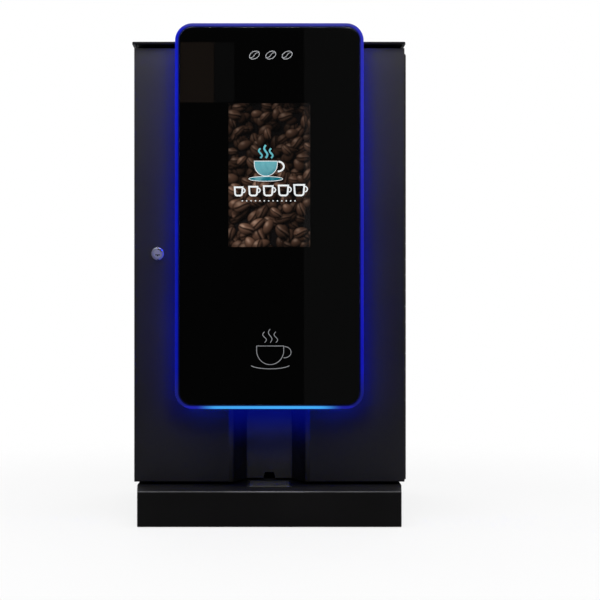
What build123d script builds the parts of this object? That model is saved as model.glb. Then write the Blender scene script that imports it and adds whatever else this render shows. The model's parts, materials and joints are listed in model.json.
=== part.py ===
from build123d import *
import math
import os

os.makedirs("parts", exist_ok=True)

# Counter-top hot drinks machine.  Millimetres, +Z up, front faces -Y,
# x = 0 is the middle of the door, z = 0 is the table the feet stand on.

# ------------------------------------------------------------------ driving dimensions
sheet = 2.0                 # folded steel thickness
cab_hw = 243.5              # cabinet half-width, outside
in_hw = cab_hw - sheet      # cabinet half-width, inside
cab_front = -135.5          # cabinet front plane
cab_rear = 263.0            # outside of rear panel
cab_z0 = 63.7               # cabinet floor = plinth deck
cab_z1 = 861.0              # top of side and rear panels

door_hw = 246.1             # door half-width
door_z0, door_z1 = 68.6, 858.2
door_front = -182.0
door_back = -142.5          # end of the folded returns
hinge_x, hinge_y = 249.4, -139.0
knuckle_r, hinge_pin_r, running = 3.0, 1.3, 0.05

lid_hw, lid_z0, lid_z1 = 248.0, 863.5, 868.0
lid_dx = -1.0               # the lid sits a little towards the lock side
lid_front, lid_rear = -192.0, 262.0
lid_axis_y, lid_axis_z = 268.0, 866.0

plinth_front, plinth_door, plinth_rear = -278.0, -182.0, 255.0
plinth_hw_front, plinth_hw_back = 232.1, 240.4
plinth_z0 = 1.2

tray_hw, tray_y0, tray_y1, tray_z0 = 38.0, -229.0, -131.0, 22.0
rim_hw, rim_z1 = 40.5, 65.2

niche_hw_front, niche_hw_back = 66.3, 41.5
niche_back, niche_top = -122.0, 235.0
niche_open_hw, niche_open_z = 74.0, 237.5

panel_w, panel_h = 335.0, 684.8
panel_zc = 548.6
panel_back, panel_rim_back, panel_face = -205.0, -240.0, -252.0
screen_w, screen_h, screen_zc = 145.0, 255.0, 621.1

lock_x, lock_z = -203.4, 483.6

shelf_z = 598.0
bulk_y = 90.0


def block(x0, x1, y0, y1, z0, z1, mode=Mode.ADD):
    """Box between two corners, joined to the open part."""
    with Locations(((x0 + x1) / 2, (y0 + y1) / 2, (z0 + z1) / 2)):
        Box(x1 - x0, y1 - y0, z1 - z0, mode=mode)


def post(x, y, z0, z1, r, mode=Mode.ADD):
    """Upright cylinder."""
    with Locations((x, y, (z0 + z1) / 2)):
        Cylinder(r, z1 - z0, mode=mode)


def rod_y(x, z, y0, y1, r, mode=Mode.ADD):
    """Cylinder along Y."""
    with Locations((x, (y0 + y1) / 2, z)):
        Cylinder(r, y1 - y0, rotation=(90, 0, 0), mode=mode)


def rod_x(y, z, x0, x1, r, mode=Mode.ADD):
    """Cylinder along X."""
    with Locations(((x0 + x1) / 2, y, z)):
        Cylinder(r, x1 - x0, rotation=(0, 90, 0), mode=mode)


def save(node, name):
    node.part.label = name
    export_step(node.part, "parts/" + name + ".step")


# ================================================================== plinth and feet
plinth_pts = [
    (-plinth_hw_front, plinth_front), (plinth_hw_front, plinth_front),
    (plinth_hw_back, plinth_door), (plinth_hw_back, plinth_rear),
    (-plinth_hw_back, plinth_rear), (-plinth_hw_back, plinth_door),
]

# folded steel skirt and deck, with the well for the drip tray
with BuildPart() as plinth_shell:
    with BuildSketch(Plane.XY.offset(plinth_z0)):
        with BuildLine():
            Polyline(*plinth_pts, close=True)
        make_face()
    extrude(amount=cab_z0 - plinth_z0)
    corner = plinth_shell.edges().filter_by(Axis.Z).sort_by(Axis.Y)[:2]
    fillet(corner, 5.0)
    fillet(plinth_shell.faces().sort_by(Axis.Z)[-1].edges().sort_by(Axis.Y)[:1], 1.2)
    with BuildSketch(Plane.XY.offset(plinth_z0)):
        with BuildLine():
            Polyline(*plinth_pts, close=True)
        make_face()
        offset(amount=-sheet)
    extrude(amount=cab_z0 - plinth_z0 - sheet, mode=Mode.SUBTRACT)
    block(-tray_hw - 0.6, tray_hw + 0.6, tray_y0 - 0.6, tray_y1 + 0.6, 50, 70, mode=Mode.SUBTRACT)
save(plinth_shell, "plinth_shell")

# bottom plate inside the skirt
with BuildPart() as plinth_plate:
    with BuildSketch(Plane.XY.offset(6.0)):
        with BuildLine():
            Polyline(*plinth_pts, close=True)
        make_face()
        offset(amount=-sheet - 4.2)
    extrude(amount=2.0)
    # tabs that reach the skirt
    block(-plinth_hw_front + 12, -120, plinth_front + sheet, plinth_front + 20, 6, 8)
    block(120, plinth_hw_front - 12, plinth_front + sheet, plinth_front + 20, 6, 8)
    block(-220, 220, plinth_rear - 20, plinth_rear - sheet, 6, 8)
    with GridLocations(400, 460, 2, 2):
        with Locations((0, -10, 7)):
            Cylinder(3.0, 4, mode=Mode.SUBTRACT)
save(plinth_plate, "plinth_bottom_plate")

# four rubber pads with a recessed screw seat
with BuildPart() as rubber_feet:
    with GridLocations(400, 460, 2, 2):
        with Locations((0, -10, 3)):
            Cylinder(18.0, 6)
    chamfer(rubber_feet.edges().filter_by(GeomType.CIRCLE).group_by(Axis.Z)[0], 1.5)
    with GridLocations(400, 460, 2, 2):
        with Locations((0, -10, 1.5)):
            Cylinder(6.0, 3.0, mode=Mode.SUBTRACT)
save(rubber_feet, "rubber_feet")

# ================================================================== cabinet
for side, name in ((-1, "side_panel_left"), (1, "side_panel_right")):
    with BuildPart() as side_panel:
        x0, x1 = sorted((side * cab_hw, side * in_hw))
        block(x0, x1, cab_front, cab_rear, cab_z0, cab_z1)
        # ventilation slots low at the rear
        for k in range(9):
            block(x0 - 1, x1 + 1, 130, 220, 150 + 11 * k, 154 + 11 * k, mode=Mode.SUBTRACT)
    save(side_panel, name)

screw_spots = [(sx * 231.0, z) for sx in (-1, 1) for z in (120.0, 360.0, 600.0, 840.0)]
fan_z = 745.0
inlet_x, inlet_z = 170.0, 130.0
valve_x, valve_z = -170.0, 118.0

with BuildPart() as rear_panel:
    block(-in_hw, in_hw, cab_rear - sheet, cab_rear, cab_z0, cab_z1)
    # fan grille: rings of round holes
    for ring_r, n in ((10, 6), (18, 12), (26, 18), (34, 24)):
        for k in range(n):
            a = 2 * math.pi * k / n
            rod_y(ring_r * math.cos(a), fan_z + ring_r * math.sin(a), 255, 270, 2.6, mode=Mode.SUBTRACT)
    # two banks of louvre slots
    for k in range(14):
        for xc in (-115, 115):
            block(xc - 55, xc + 55, 255, 270, 300 + 14 * k, 304 + 14 * k, mode=Mode.SUBTRACT)
    block(inlet_x - 14, inlet_x + 14, 255, 270, inlet_z - 29, inlet_z + 29, mode=Mode.SUBTRACT)
    rod_y(valve_x, valve_z, 255, 270, 13.7, mode=Mode.SUBTRACT)
    for x, z in screw_spots:
        rod_y(x, z, 255, 270, 2.1, mode=Mode.SUBTRACT)
save(rear_panel, "rear_panel")

with BuildPart() as rear_screws:
    for x, z in screw_spots:
        rod_y(x, z, 257, cab_rear, 1.9)
        rod_y(x, z, cab_rear, cab_rear + 2.2, 3.8)
    fillet(rear_screws.edges().filter_by(GeomType.CIRCLE).group_by(Axis.Y)[-1], 1.4)
    for x, z in screw_spots:
        block(x - 2.6, x + 2.6, cab_rear + 1.2, cab_rear + 3, z - 0.45, z + 0.45, mode=Mode.SUBTRACT)
        block(x - 0.45, x + 0.45, cab_rear + 1.2, cab_rear + 3, z - 2.6, z + 2.6, mode=Mode.SUBTRACT)
save(rear_screws, "rear_screws")

with BuildPart() as base_pan:
    block(-in_hw, in_hw, cab_front + sheet, cab_rear - sheet, cab_z0, cab_z0 + 20)
    block(-in_hw + sheet, in_hw - sheet, cab_front + 2 * sheet, cab_rear - 2 * sheet,
          cab_z0 + sheet, cab_z0 + 30, mode=Mode.SUBTRACT)
    # clearance for the back of the cup niche and the tray rim
    block(-80, 80, -140, -112, 50, 100, mode=Mode.SUBTRACT)
save(base_pan, "base_pan")

# one welded frame: ring round the front opening and ring under the lid
with BuildPart() as cabinet_frame:
    block(-in_hw, in_hw, cab_front, cab_front + sheet, cab_z0, cab_z1)
    with BuildSketch(Plane.XZ.offset(-cab_front - 5)):
        with Locations((0, 471)):
            Rectangle(444, 750)
    extrude(amount=10, mode=Mode.SUBTRACT)
    block(-80, 80, -140, -130, 60, 110, mode=Mode.SUBTRACT)
    block(-cab_hw, cab_hw, cab_front, 261, cab_z1, cab_z1 + sheet)
    block(-216, 216, -112, 240, cab_z1 - 5, cab_z1 + 5, mode=Mode.SUBTRACT)
save(cabinet_frame, "cabinet_frame")

# ------------------------------------------------------------------ lid and its hinges
with BuildPart() as lid:
    block(lid_dx - lid_hw, lid_dx + lid_hw, lid_front, lid_rear, lid_z0, lid_z1)
    fillet(lid.edges().filter_by(Axis.Z), 4.0)
    fillet(lid.faces().sort_by(Axis.Z)[-1].edges(), 1.2)
    block(lid_dx - lid_hw + 5, lid_dx + lid_hw - 5, lid_front + 5, lid_rear - 5, lid_z0 - 1, lid_z1 - 1.5, mode=Mode.SUBTRACT)
save(lid, "lid")

lid_hinge_xs = (-150.0, 150.0)
with BuildPart() as lid_hinge_straps:
    for xc in lid_hinge_xs:
        block(xc - 25, xc + 25, 232, 262.4, lid_z1, lid_z1 + 1.6)
        block(xc - 10, xc + 10, 262.4, lid_axis_y, lid_z1, lid_z1 + 1.6)
        rod_x(lid_axis_y, lid_axis_z, xc - 10, xc + 10, 4.0)
        rod_x(lid_axis_y, lid_axis_z, xc - 11, xc + 11, 2.05, mode=Mode.SUBTRACT)
        for dx in (-16, 16):
            with Locations((xc + dx, 246, lid_z1 + 1.6)):
                Cylinder(3.2, 1.0, align=(Align.CENTER, Align.CENTER, Align.MIN))
save(lid_hinge_straps, "lid_hinge_straps")

with BuildPart() as lid_hinge_brackets:
    for xc in lid_hinge_xs:
        block(xc - 30, xc + 30, cab_rear, cab_rear + 2, 826, lid_axis_z)
        block(xc - 10.4, xc + 10.4, cab_rear - 1, cab_rear + 3, 860.8, 870, mode=Mode.SUBTRACT)
        for a, b in ((-30, -10.4), (10.4, 30)):
            rod_x(lid_axis_y, lid_axis_z, xc + a, xc + b, 4.0)
        rod_x(lid_axis_y, lid_axis_z, xc - 31, xc + 31, 2.05, mode=Mode.SUBTRACT)
        for dx in (-20, 20):
            rod_y(xc + dx, 838, cab_rear + 2, cab_rear + 3.2, 3.2)
save(lid_hinge_brackets, "lid_hinge_brackets")

# ------------------------------------------------------------------ continuous door hinge
hinge_z0, hinge_z1, hinge_n = 68.5, 852.0, 27
hinge_pitch = (hinge_z1 - hinge_z0) / hinge_n

with BuildPart() as hinge_cabinet_leaf:
    block(cab_hw, cab_hw + 1, -136.9, -112, hinge_z0, hinge_z1)
    for k in range(0, hinge_n, 2):
        a, b = hinge_z0 + k * hinge_pitch + 0.2, hinge_z0 + (k + 1) * hinge_pitch - 0.2
        post(hinge_x, hinge_y, a, b, knuckle_r)
        block(cab_hw, hinge_x, -136.9, -135.7, a, b)
    post(hinge_x, hinge_y, hinge_z0 - 5, hinge_z1 + 5, hinge_pin_r + running, mode=Mode.SUBTRACT)
    for k in range(9):
        with Locations((cab_hw + 1, -121, hinge_z0 + 30 + k * 89)):
            Cylinder(2.6, 0.6, rotation=(0, 90, 0), align=(Align.CENTER, Align.CENTER, Align.MIN))
save(hinge_cabinet_leaf, "hinge_cabinet_leaf")

with BuildPart() as hinge_door_leaf:
    block(234, 241.4, door_back, door_back + 1.2, hinge_z0, hinge_z1)
    for k in range(1, hinge_n, 2):
        a, b = hinge_z0 + k * hinge_pitch + 0.2, hinge_z0 + (k + 1) * hinge_pitch - 0.2
        post(hinge_x, hinge_y, a, b, knuckle_r)
        block(241.4, hinge_x, door_back, door_back + 1.2, a, b)
    post(hinge_x, hinge_y, hinge_z0 - 5, hinge_z1 + 5, hinge_pin_r + running, mode=Mode.SUBTRACT)
save(hinge_door_leaf, "hinge_door_leaf")

# pins of the door hinge and of the two lid hinges
with BuildPart() as hinge_pins:
    post(hinge_x, hinge_y, hinge_z0 - 2, hinge_z1, hinge_pin_r)
    post(hinge_x, hinge_y, hinge_z1, hinge_z1 + 2, 2.4)
    for xc in lid_hinge_xs:
        rod_x(lid_axis_y, lid_axis_z, xc - 31, xc + 31, 2.0)
        rod_x(lid_axis_y, lid_axis_z, xc - 32, xc - 30.2, 3.0)
        rod_x(lid_axis_y, lid_axis_z, xc + 30.2, xc + 32, 3.0)
save(hinge_pins, "hinge_pins")

# ================================================================== door
with BuildPart() as door_skin:
    block(-door_hw, door_hw, door_front, door_back, door_z0, door_z1)
    front_edges = door_skin.faces().sort_by(Axis.Y)[0].edges()
    fillet(front_edges, 1.6)
    block(-door_hw + sheet, door_hw - sheet, door_front + sheet, door_back + 5,
          door_z0 + sheet, door_z1 - sheet, mode=Mode.SUBTRACT)
    # mouth of the cup niche, open at the foot
    block(-niche_open_hw, niche_open_hw, door_front - 5, door_back + 5, door_z0 - 5, niche_open_z, mode=Mode.SUBTRACT)
    # lock and cable holes
    rod_y(lock_x, lock_z, door_front - 5, door_front + 5, 9.05, mode=Mode.SUBTRACT)
    rod_y(0, 640, door_front - 5, door_front + 5, 14, mode=Mode.SUBTRACT)
save(door_skin, "door_skin")

with BuildPart() as door_liner:
    block(-door_hw + sheet, door_hw - sheet, door_back - 2, door_back, door_z0 + sheet, door_z1 - sheet)
    block(-84, 84, -150, -140, 60, 246, mode=Mode.SUBTRACT)
    block(-60, 60, -150, -140, 240, 325, mode=Mode.SUBTRACT)
    rod_y(lock_x, lock_z, -150, -140, 9.6, mode=Mode.SUBTRACT)
    # stiffening swages
    for zc in (420, 560, 700):
        with BuildSketch(Plane.XZ.offset(-door_back - 0.8)):
            with Locations((10, zc)):
                SlotOverall(300, 26)
        extrude(amount=-0.8, mode=Mode.SUBTRACT)
save(door_liner, "door_inner_panel")

# moulded cup niche: slanted cheeks, straight back, open foot
cheek = Vector(niche_hw_front - niche_hw_back, niche_back - door_front).normalized()
wall = 2.5
with BuildPart() as niche_liner:
    with BuildSketch(Plane.XY.offset(door_z0)):
        with BuildLine():
            Polyline(
                (-niche_open_hw, door_front), (-niche_hw_front, door_front),
                (-niche_hw_back, niche_back), (niche_hw_back, niche_back),
                (niche_hw_front, door_front), (niche_open_hw, door_front),
                (niche_open_hw, door_front + 4.0), (niche_hw_front + 1.6, door_front + 4.0),
                (niche_hw_back + 1.8, niche_back + wall), (-niche_hw_back - 1.8, niche_back + wall),
                (-niche_hw_front - 1.6, door_front + 4.0), (-niche_open_hw, door_front + 4.0),
                close=True)
        make_face()
    extrude(amount=niche_open_z - door_z0)
    lip = niche_liner.edges().filter_by(Axis.Z).filter_by(
        lambda e: abs(abs(e.center().X) - niche_hw_front) < 0.1 and abs(e.center().Y - door_front) < 0.1)
    fillet(lip, 9.0)
    back_corners = niche_liner.edges().filter_by(Axis.Z).filter_by(
        lambda e: abs(abs(e.center().X) - niche_hw_back) < 0.1 and abs(e.center().Y - niche_back) < 0.1)
    fillet(back_corners, 7.0)
    # ceiling
    with BuildSketch(Plane.XY.offset(niche_top)):
        with BuildLine():
            Polyline((-niche_hw_front - 1, door_front + 0.5), (niche_hw_front + 1, door_front + 0.5),
                     (niche_hw_back + 1, niche_back + 1), (-niche_hw_back - 1, niche_back + 1), close=True)
        make_face()
    extrude(amount=niche_open_z - niche_top)
    block(-21, 21, -167, -139, niche_top - 2, niche_top + 5, mode=Mode.SUBTRACT)
    # flange behind the door skin
    block(-niche_open_hw - 10, -niche_open_hw, door_front + sheet, door_front + 4, door_z0 + sheet + 0.5, niche_open_z)
    block(niche_open_hw, niche_open_hw + 10, door_front + sheet, door_front + 4, door_z0 + sheet + 0.5, niche_open_z)
    # thumb notch at the foot of the back wall
    with BuildSketch(Plane.XZ.offset(-niche_back + 5)):
        with BuildLine():
            Polyline((-8.5, 79.5), (-10.5, 71), (-10.5, 60), (10.5, 60), (10.5, 71), (8.5, 79.5), close=True)
        make_face()
    extrude(amount=-20, mode=Mode.SUBTRACT)
save(niche_liner, "niche_liner")

# drink funnel with twin nozzles, hung through the niche ceiling
with BuildPart() as drink_spout:
    block(-20, 20, -166, -140, niche_open_z - 16, 262)
    fillet(drink_spout.edges().filter_by(Axis.Z), 4)
    block(-28, 28, -172, -134, niche_open_z, niche_open_z + 2.5)
    block(-45, 45, -168, -100, 262, 300)
    block(-42.5, 42.5, -165.5, -102.5, 265, 301, mode=Mode.SUBTRACT)
    for x in (-9, 9):
        post(x, -153, 203, niche_open_z - 16, 6.0)
        post(x, -153, 200, 270, 3.5, mode=Mode.SUBTRACT)
save(drink_spout, "drink_spout")

with BuildPart() as niche_lamp:
    block(-24, 24, -178, -171, niche_top - 4, niche_top)
    fillet(niche_lamp.edges().filter_by(Axis.Z), 2.5)
save(niche_lamp, "niche_lamp")

with BuildPart() as door_gasket:
    block(-233, 233, door_back, door_back + 6.2, 81, 856)
    block(-225, 225, door_back - 1, door_back + 7, 89, 848, mode=Mode.SUBTRACT)
    block(-86, 86, door_back - 1, door_back + 7, 70, 100, mode=Mode.SUBTRACT)
    fillet(door_gasket.faces().sort_by(Axis.Y)[-1].edges(), 1.5)
save(door_gasket, "door_gasket")

# ------------------------------------------------------------------ lock
with BuildPart() as lock_body:
    rod_y(lock_x, lock_z, door_front - 2.5, door_front, 11.35)
    fillet(lock_body.edges().filter_by(GeomType.CIRCLE).sort_by(Axis.Y)[:1], 1.2)
    rod_y(lock_x, lock_z, door_front, -134.0, 9.0)
    with BuildSketch(Plane.XZ.offset(-door_front - sheet)):
        with Locations((lock_x, lock_z)):
            RegularPolygon(14, 6)
            Circle(8.5, mode=Mode.SUBTRACT)
    extrude(amount=-5)
    rod_y(lock_x, lock_z, door_front - 5, -130, 7.05, mode=Mode.SUBTRACT)
save(lock_body, "lock_body")

with BuildPart() as lock_plug:
    rod_y(lock_x, lock_z, door_front - 2.2, -131.5, 7.0)
    fillet(lock_plug.edges().filter_by(GeomType.CIRCLE).sort_by(Axis.Y)[:1], 0.8)
    rod_y(lock_x, lock_z, -131.5, -129.3, 3.6)
    # keyway
    block(lock_x - 4.7, lock_x + 4.7, door_front - 3, door_front + 9, lock_z - 2.9, lock_z - 1.1, mode=Mode.SUBTRACT)
    block(lock_x - 1.2, lock_x + 1.2, door_front - 3, door_front + 9, lock_z - 4.6, lock_z - 1.1, mode=Mode.SUBTRACT)
save(lock_plug, "lock_plug")

with BuildPart() as lock_cam:
    with BuildSketch(Plane.XZ.offset(131.5)):
        with Locations((lock_x, lock_z + 11.5)):
            RectangleRounded(14, 37, 6.9)
        with Locations((lock_x, lock_z)):
            Circle(3.65, mode=Mode.SUBTRACT)
    extrude(amount=-2.0)
save(lock_cam, "lock_cam")

# ================================================================== glass panel on the door
with BuildPart() as panel_housing:
    with BuildSketch(Plane.XZ.offset(-panel_back)):
        with Locations((0, panel_zc)):
            RectangleRounded(panel_w - 4, panel_h - 4, 29)
    extrude(amount=panel_back - panel_rim_back)
    fillet(panel_housing.faces().sort_by(Axis.Y)[-1].edges(), 2.0)
    with BuildSketch(Plane.XZ.offset(-panel_back + 2)):
        with Locations((0, panel_zc)):
            RectangleRounded(panel_w - 8, panel_h - 8, 27)
    extrude(amount=40, mode=Mode.SUBTRACT)
    rod_y(0, 640, -215, -200, 14, mode=Mode.SUBTRACT)
    # posts that hold the panel off the door
    for x in (-120, 120):
        for z in (280, 547, 815):
            rod_y(x, z, panel_back - 1, door_front, 9.0)
save(panel_housing, "panel_housing")

# edge-lit acrylic rim with a ledge for the glass
with BuildPart() as light_guide:
    with BuildSketch(Plane.XZ.offset(-panel_rim_back)):
        with Locations((0, panel_zc)):
            RectangleRounded(panel_w, panel_h, 31)
    extrude(amount=10.5)
    fillet(light_guide.faces().sort_by(Axis.Y)[0].edges(), 3.0)
    with BuildSketch(Plane.XZ.offset(-panel_rim_back)):
        with Locations((0, panel_zc)):
            RectangleRounded(panel_w - 31, panel_h - 31, 16)
    extrude(amount=12, mode=Mode.SUBTRACT)
    with BuildSketch(Plane.XZ.offset(-panel_rim_back + 6.5)):
        with Locations((0, panel_zc)):
            RectangleRounded(panel_w - 15, panel_h - 15, 23.5)
    extrude(amount=6, mode=Mode.SUBTRACT)
save(light_guide, "light_guide")

# light strip on the back of the housing, aimed at the door
with BuildPart() as led_strip:
    with BuildSketch(Plane.XZ.offset(-panel_back)):
        with Locations((0, panel_zc)):
            RectangleRounded(panel_w - 18, panel_h - 18, 22)
            RectangleRounded(panel_w - 34, panel_h - 34, 14, mode=Mode.SUBTRACT)
    extrude(amount=-2.4)
save(led_strip, "led_strip")

with BuildPart() as glass_mask:
    with BuildSketch(Plane.XZ.offset(246.5)):
        with Locations((0, panel_zc)):
            RectangleRounded(panel_w - 15.6, panel_h - 15.6, 23.2)
        with Locations((0, screen_zc)):
            Rectangle(screen_w, screen_h, mode=Mode.SUBTRACT)
    extrude(amount=1.5)
save(glass_mask, "glass_mask")

with BuildPart() as glass_front:
    with BuildSketch(Plane.XZ.offset(248.0)):
        with Locations((0, panel_zc)):
            RectangleRounded(panel_w - 15.6, panel_h - 15.6, 23.2)
    extrude(amount=4.0)
    fillet(glass_front.faces().sort_by(Axis.Y)[0].edges(), 0.8)
save(glass_front, "glass_front")

with BuildPart() as display_module:
    block(-80, 80, -246.5, -237, screen_zc - 135, screen_zc + 135)
    fillet(display_module.edges().filter_by(Axis.Y), 2.0)
    block(-60, 60, -237, -234, screen_zc - 90, screen_zc + 60)
    block(-45, 10, -234, -226, screen_zc - 70, screen_zc - 20)
    block(20, 50, -234, -229, screen_zc - 60, screen_zc - 45)
save(display_module, "display_module")

# ================================================================== drip tray and grille
with BuildPart() as drip_tray:
    block(-tray_hw, tray_hw, tray_y0, tray_y1, tray_z0, cab_z0)
    fillet(drip_tray.edges().filter_by(Axis.Z), 3.0)
    fillet(drip_tray.faces().sort_by(Axis.Z)[0].edges(), 2.0)
    with BuildSketch(Plane.XY.offset(cab_z0)):
        with Locations((0, (tray_y0 + tray_y1) / 2)):
            RectangleRounded(2 * rim_hw, tray_y1 - tray_y0 + 5, 4)
    extrude(amount=rim_z1 - cab_z0)
    with BuildSketch(Plane.XY.offset(tray_z0 + 2)):
        with Locations((0, (tray_y0 + tray_y1) / 2)):
            RectangleRounded(2 * tray_hw - 4, tray_y1 - tray_y0 - 4, 2)
    extrude(amount=60, mode=Mode.SUBTRACT)
    # corner seats for the grille
    for sx in (-1, 1):
        for y in (tray_y0 + 7, tray_y1 - 7):
            block(*sorted((sx * (tray_hw - 1.5), sx * (tray_hw - 8))), y - 4, y + 4, 55.6, 61.4)
save(drip_tray, "drip_tray")

with BuildPart() as drip_grille:
    with BuildSketch(Plane.XY.offset(61.8)):
        with Locations((0, (tray_y0 + tray_y1) / 2)):
            RectangleRounded(2 * tray_hw - 4.8, tray_y1 - tray_y0 - 4.8, 1.8)
    extrude(amount=2.6)
    with GridLocations(0, 7.2, 1, 11):
        with Locations((0, (tray_y0 + tray_y1) / 2, 63)):
            Box(60, 3.4, 8, mode=Mode.SUBTRACT)
save(drip_grille, "drip_grille")

# ================================================================== inner structure
with BuildPart() as bulkhead:
    block(-in_hw, in_hw, bulk_y, bulk_y + sheet, 84, cab_z1 - 9)
    for x in (-175, -70):
        rod_y(x, 624, bulk_y - 5, bulk_y + 5, 8, mode=Mode.SUBTRACT)
    block(100, 180, bulk_y - 5, bulk_y + 5, 350, 380, mode=Mode.SUBTRACT)
    for sx in (-1, 1):
        block(*sorted((sx * (in_hw - 15), sx * in_hw)), bulk_y - sheet, bulk_y, 84, shelf_z - 2)
save(bulkhead, "bulkhead")

with BuildPart() as shelf:
    block(-in_hw, in_hw, -95, bulk_y, shelf_z, shelf_z + sheet)
    block(-in_hw, in_hw, -95, -93, shelf_z - 18, shelf_z)
    block(124, 156, -81, -49, shelf_z - 5, shelf_z + 5, mode=Mode.SUBTRACT)
    # hanger for the mixer
    block(-165, -80, -80, -78, 450, shelf_z)
    rod_y(-122.5, 490, -85, -70, 7, mode=Mode.SUBTRACT)
save(shelf, "shelf")

# ------------------------------------------------------------------ bean hopper and grinder
gx, gy = 140.0, -5.0
with BuildPart() as bean_hopper:
    with BuildSketch(Plane.XY.offset(727)):
        with Locations((gx, gy)):
            Circle(44)
    with BuildSketch(Plane.XY.offset(785)):
        with Locations((gx, gy)):
            RectangleRounded(148, 170, 14)
    loft()
    with BuildSketch(Plane.XY.offset(785)):
        with Locations((gx, gy)):
            RectangleRounded(148, 170, 14)
    extrude(amount=70)
    with BuildSketch(Plane.XY.offset(727)):
        with Locations((gx, gy)):
            Circle(41)
    with BuildSketch(Plane.XY.offset(786)):
        with Locations((gx, gy)):
            RectangleRounded(142, 164, 11)
    loft(mode=Mode.SUBTRACT)
    with BuildSketch(Plane.XY.offset(786)):
        with Locations((gx, gy)):
            RectangleRounded(142, 164, 11)
    extrude(amount=75, mode=Mode.SUBTRACT)
save(bean_hopper, "bean_hopper")

with BuildPart() as grinder_housing:
    post(gx, gy, 666, 727, 52)
    block(128, 152, -77, -40, 672, 700)
    block(128, 152, -77, -53, 510, 700)
    post(gx, gy, 676, 730, 38, mode=Mode.SUBTRACT)
    post(gx, gy, 660, 680, 6.05, mode=Mode.SUBTRACT)
    block(131, 149, -74, -20, 676, 690, mode=Mode.SUBTRACT)
    block(131, 149, -74, -56, 500, 690, mode=Mode.SUBTRACT)
save(grinder_housing, "grinder_housing")

with BuildPart() as grinder_motor:
    post(gx, gy, 600, 660, 45)
    fillet(grinder_motor.edges().filter_by(GeomType.CIRCLE), 3)
    post(gx, gy, 659, 666, 24)
    post(gx, gy, 655, 667, 6.05, mode=Mode.SUBTRACT)
    with Locations((gx, gy, 630)):
        with PolarLocations(45, 16):
            Box(4, 4, 36, mode=Mode.SUBTRACT)
save(grinder_motor, "grinder_motor")

with BuildPart() as grinding_burr:
    post(gx, gy, 656, 716, 6.0)
    with Locations((gx, gy, 694)):
        Cone(32, 16, 28)
    with Locations((gx, gy, 696)):
        with PolarLocations(30, 18):
            Box(14, 2.2, 40, rotation=(0, -28, 0), mode=Mode.SUBTRACT)
save(grinding_burr, "grinding_burr")

# ------------------------------------------------------------------ brewer
bx, by = 140.0, -65.0
with BuildPart() as brew_frame:
    block(72, 210, 84, bulk_y - 2.0, 330, 560)
    block(72, 210, -112, 84, 330, 338)
    block(72, 210, -112, 84, 540, 546)
    for x in (84, 198):
        post(x, -98, 338, 540, 7)
    # chute and rod passages
    block(126, 154, -80, -50, 535, 550, mode=Mode.SUBTRACT)
    post(bx, by, 325, 345, 8.05, mode=Mode.SUBTRACT)
    # arm that holds the drink tubes over the funnel
    block(72, 80, -112, -104, 318, 338)
    block(-26, 80, -112, -106, 318, 324)
    block(-26, 26, -124, -106, 318, 324)
    for x in (-12, 12):
        post(x, -116, 315, 327, 5.5, mode=Mode.SUBTRACT)
save(brew_frame, "brew_frame")

with BuildPart() as brew_chamber:
    post(bx, by, 400, 500, 33)
    fillet(brew_chamber.edges().filter_by(GeomType.CIRCLE), 2)
    block(118, 162, -40, 84, 430, 446)
    rod_x(by, 470, bx + 20, bx + 44, 6)
    post(bx, by, 390, 510, 24, mode=Mode.SUBTRACT)
    rod_x(by, 470, bx + 20, bx + 46, 3.5, mode=Mode.SUBTRACT)
save(brew_chamber, "brew_chamber")

with BuildPart() as brew_piston:
    post(bx, by, 405, 424, 23.95)
    post(bx, by, 414, 417, 26, mode=Mode.SUBTRACT)
    post(bx, by, 414, 417, 21.5)
    post(bx, by, 262, 405, 8.0)
save(brew_piston, "brew_piston")

with BuildPart() as grounds_bin:
    block(86, 224, -112, 78, cab_z0 + sheet, 240)
    fillet(grounds_bin.edges().filter_by(Axis.Z), 6)
    block(88.5, 221.5, -109.5, 75.5, cab_z0 + sheet + 2.5, 250, mode=Mode.SUBTRACT)
    # grip recess
    block(125, 185, -120, -105, 205, 222, mode=Mode.SUBTRACT)
save(grounds_bin, "grounds_bin")

# ------------------------------------------------------------------ soluble canisters
can_xs = (-175.0, -70.0)
with BuildPart() as canisters:
    for x in can_xs:
        block(x - 48, x + 48, -85, 80, 600, 846)
        with BuildSketch(Plane.XZ.offset(82)):
            with BuildLine():
                Polyline((x - 18, 624), (x - 45, 700), (x - 45, 850), (x + 45, 850), (x + 45, 700), (x + 18, 624))
                ThreePointArc((x + 18, 624), (x, 606), (x - 18, 624))
            make_face()
        extrude(amount=-159, mode=Mode.SUBTRACT)
        rod_y(x, 624, -112, -85, 17)
        rod_y(x, 624, -109, -80, 14, mode=Mode.SUBTRACT)
        rod_y(x, 624, 70, 90, 5.05, mode=Mode.SUBTRACT)
        post(x, -101, 604, 622, 7, mode=Mode.SUBTRACT)
save(canisters, "powder_canisters")

with BuildPart() as canister_lids:
    for x in can_xs:
        block(x - 49, x + 49, -86, 81, 846, 850)
        block(x - 44.6, x + 44.6, -81, 76, 842, 846)
        with Locations((x, -2, 850)):
            Box(40, 12, 5, align=(Align.CENTER, Align.CENTER, Align.MIN))
    fillet(canister_lids.faces().filter_by(Axis.Z).sort_by(Axis.Z)[-1].edges(), 1.0)
save(canister_lids, "canister_lids")

for i, x in enumerate(can_xs, 1):
    with BuildPart() as auger:
        rod_y(x, 624, -106, bulk_y + 7, 5.0)
        for k in range(9):
            with Locations(Location((x, -98 + 19.5 * k, 624), (90 + 14, 0, 0))):
                Cylinder(11.5, 2.0)
    save(auger, "auger_%d" % i)

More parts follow.
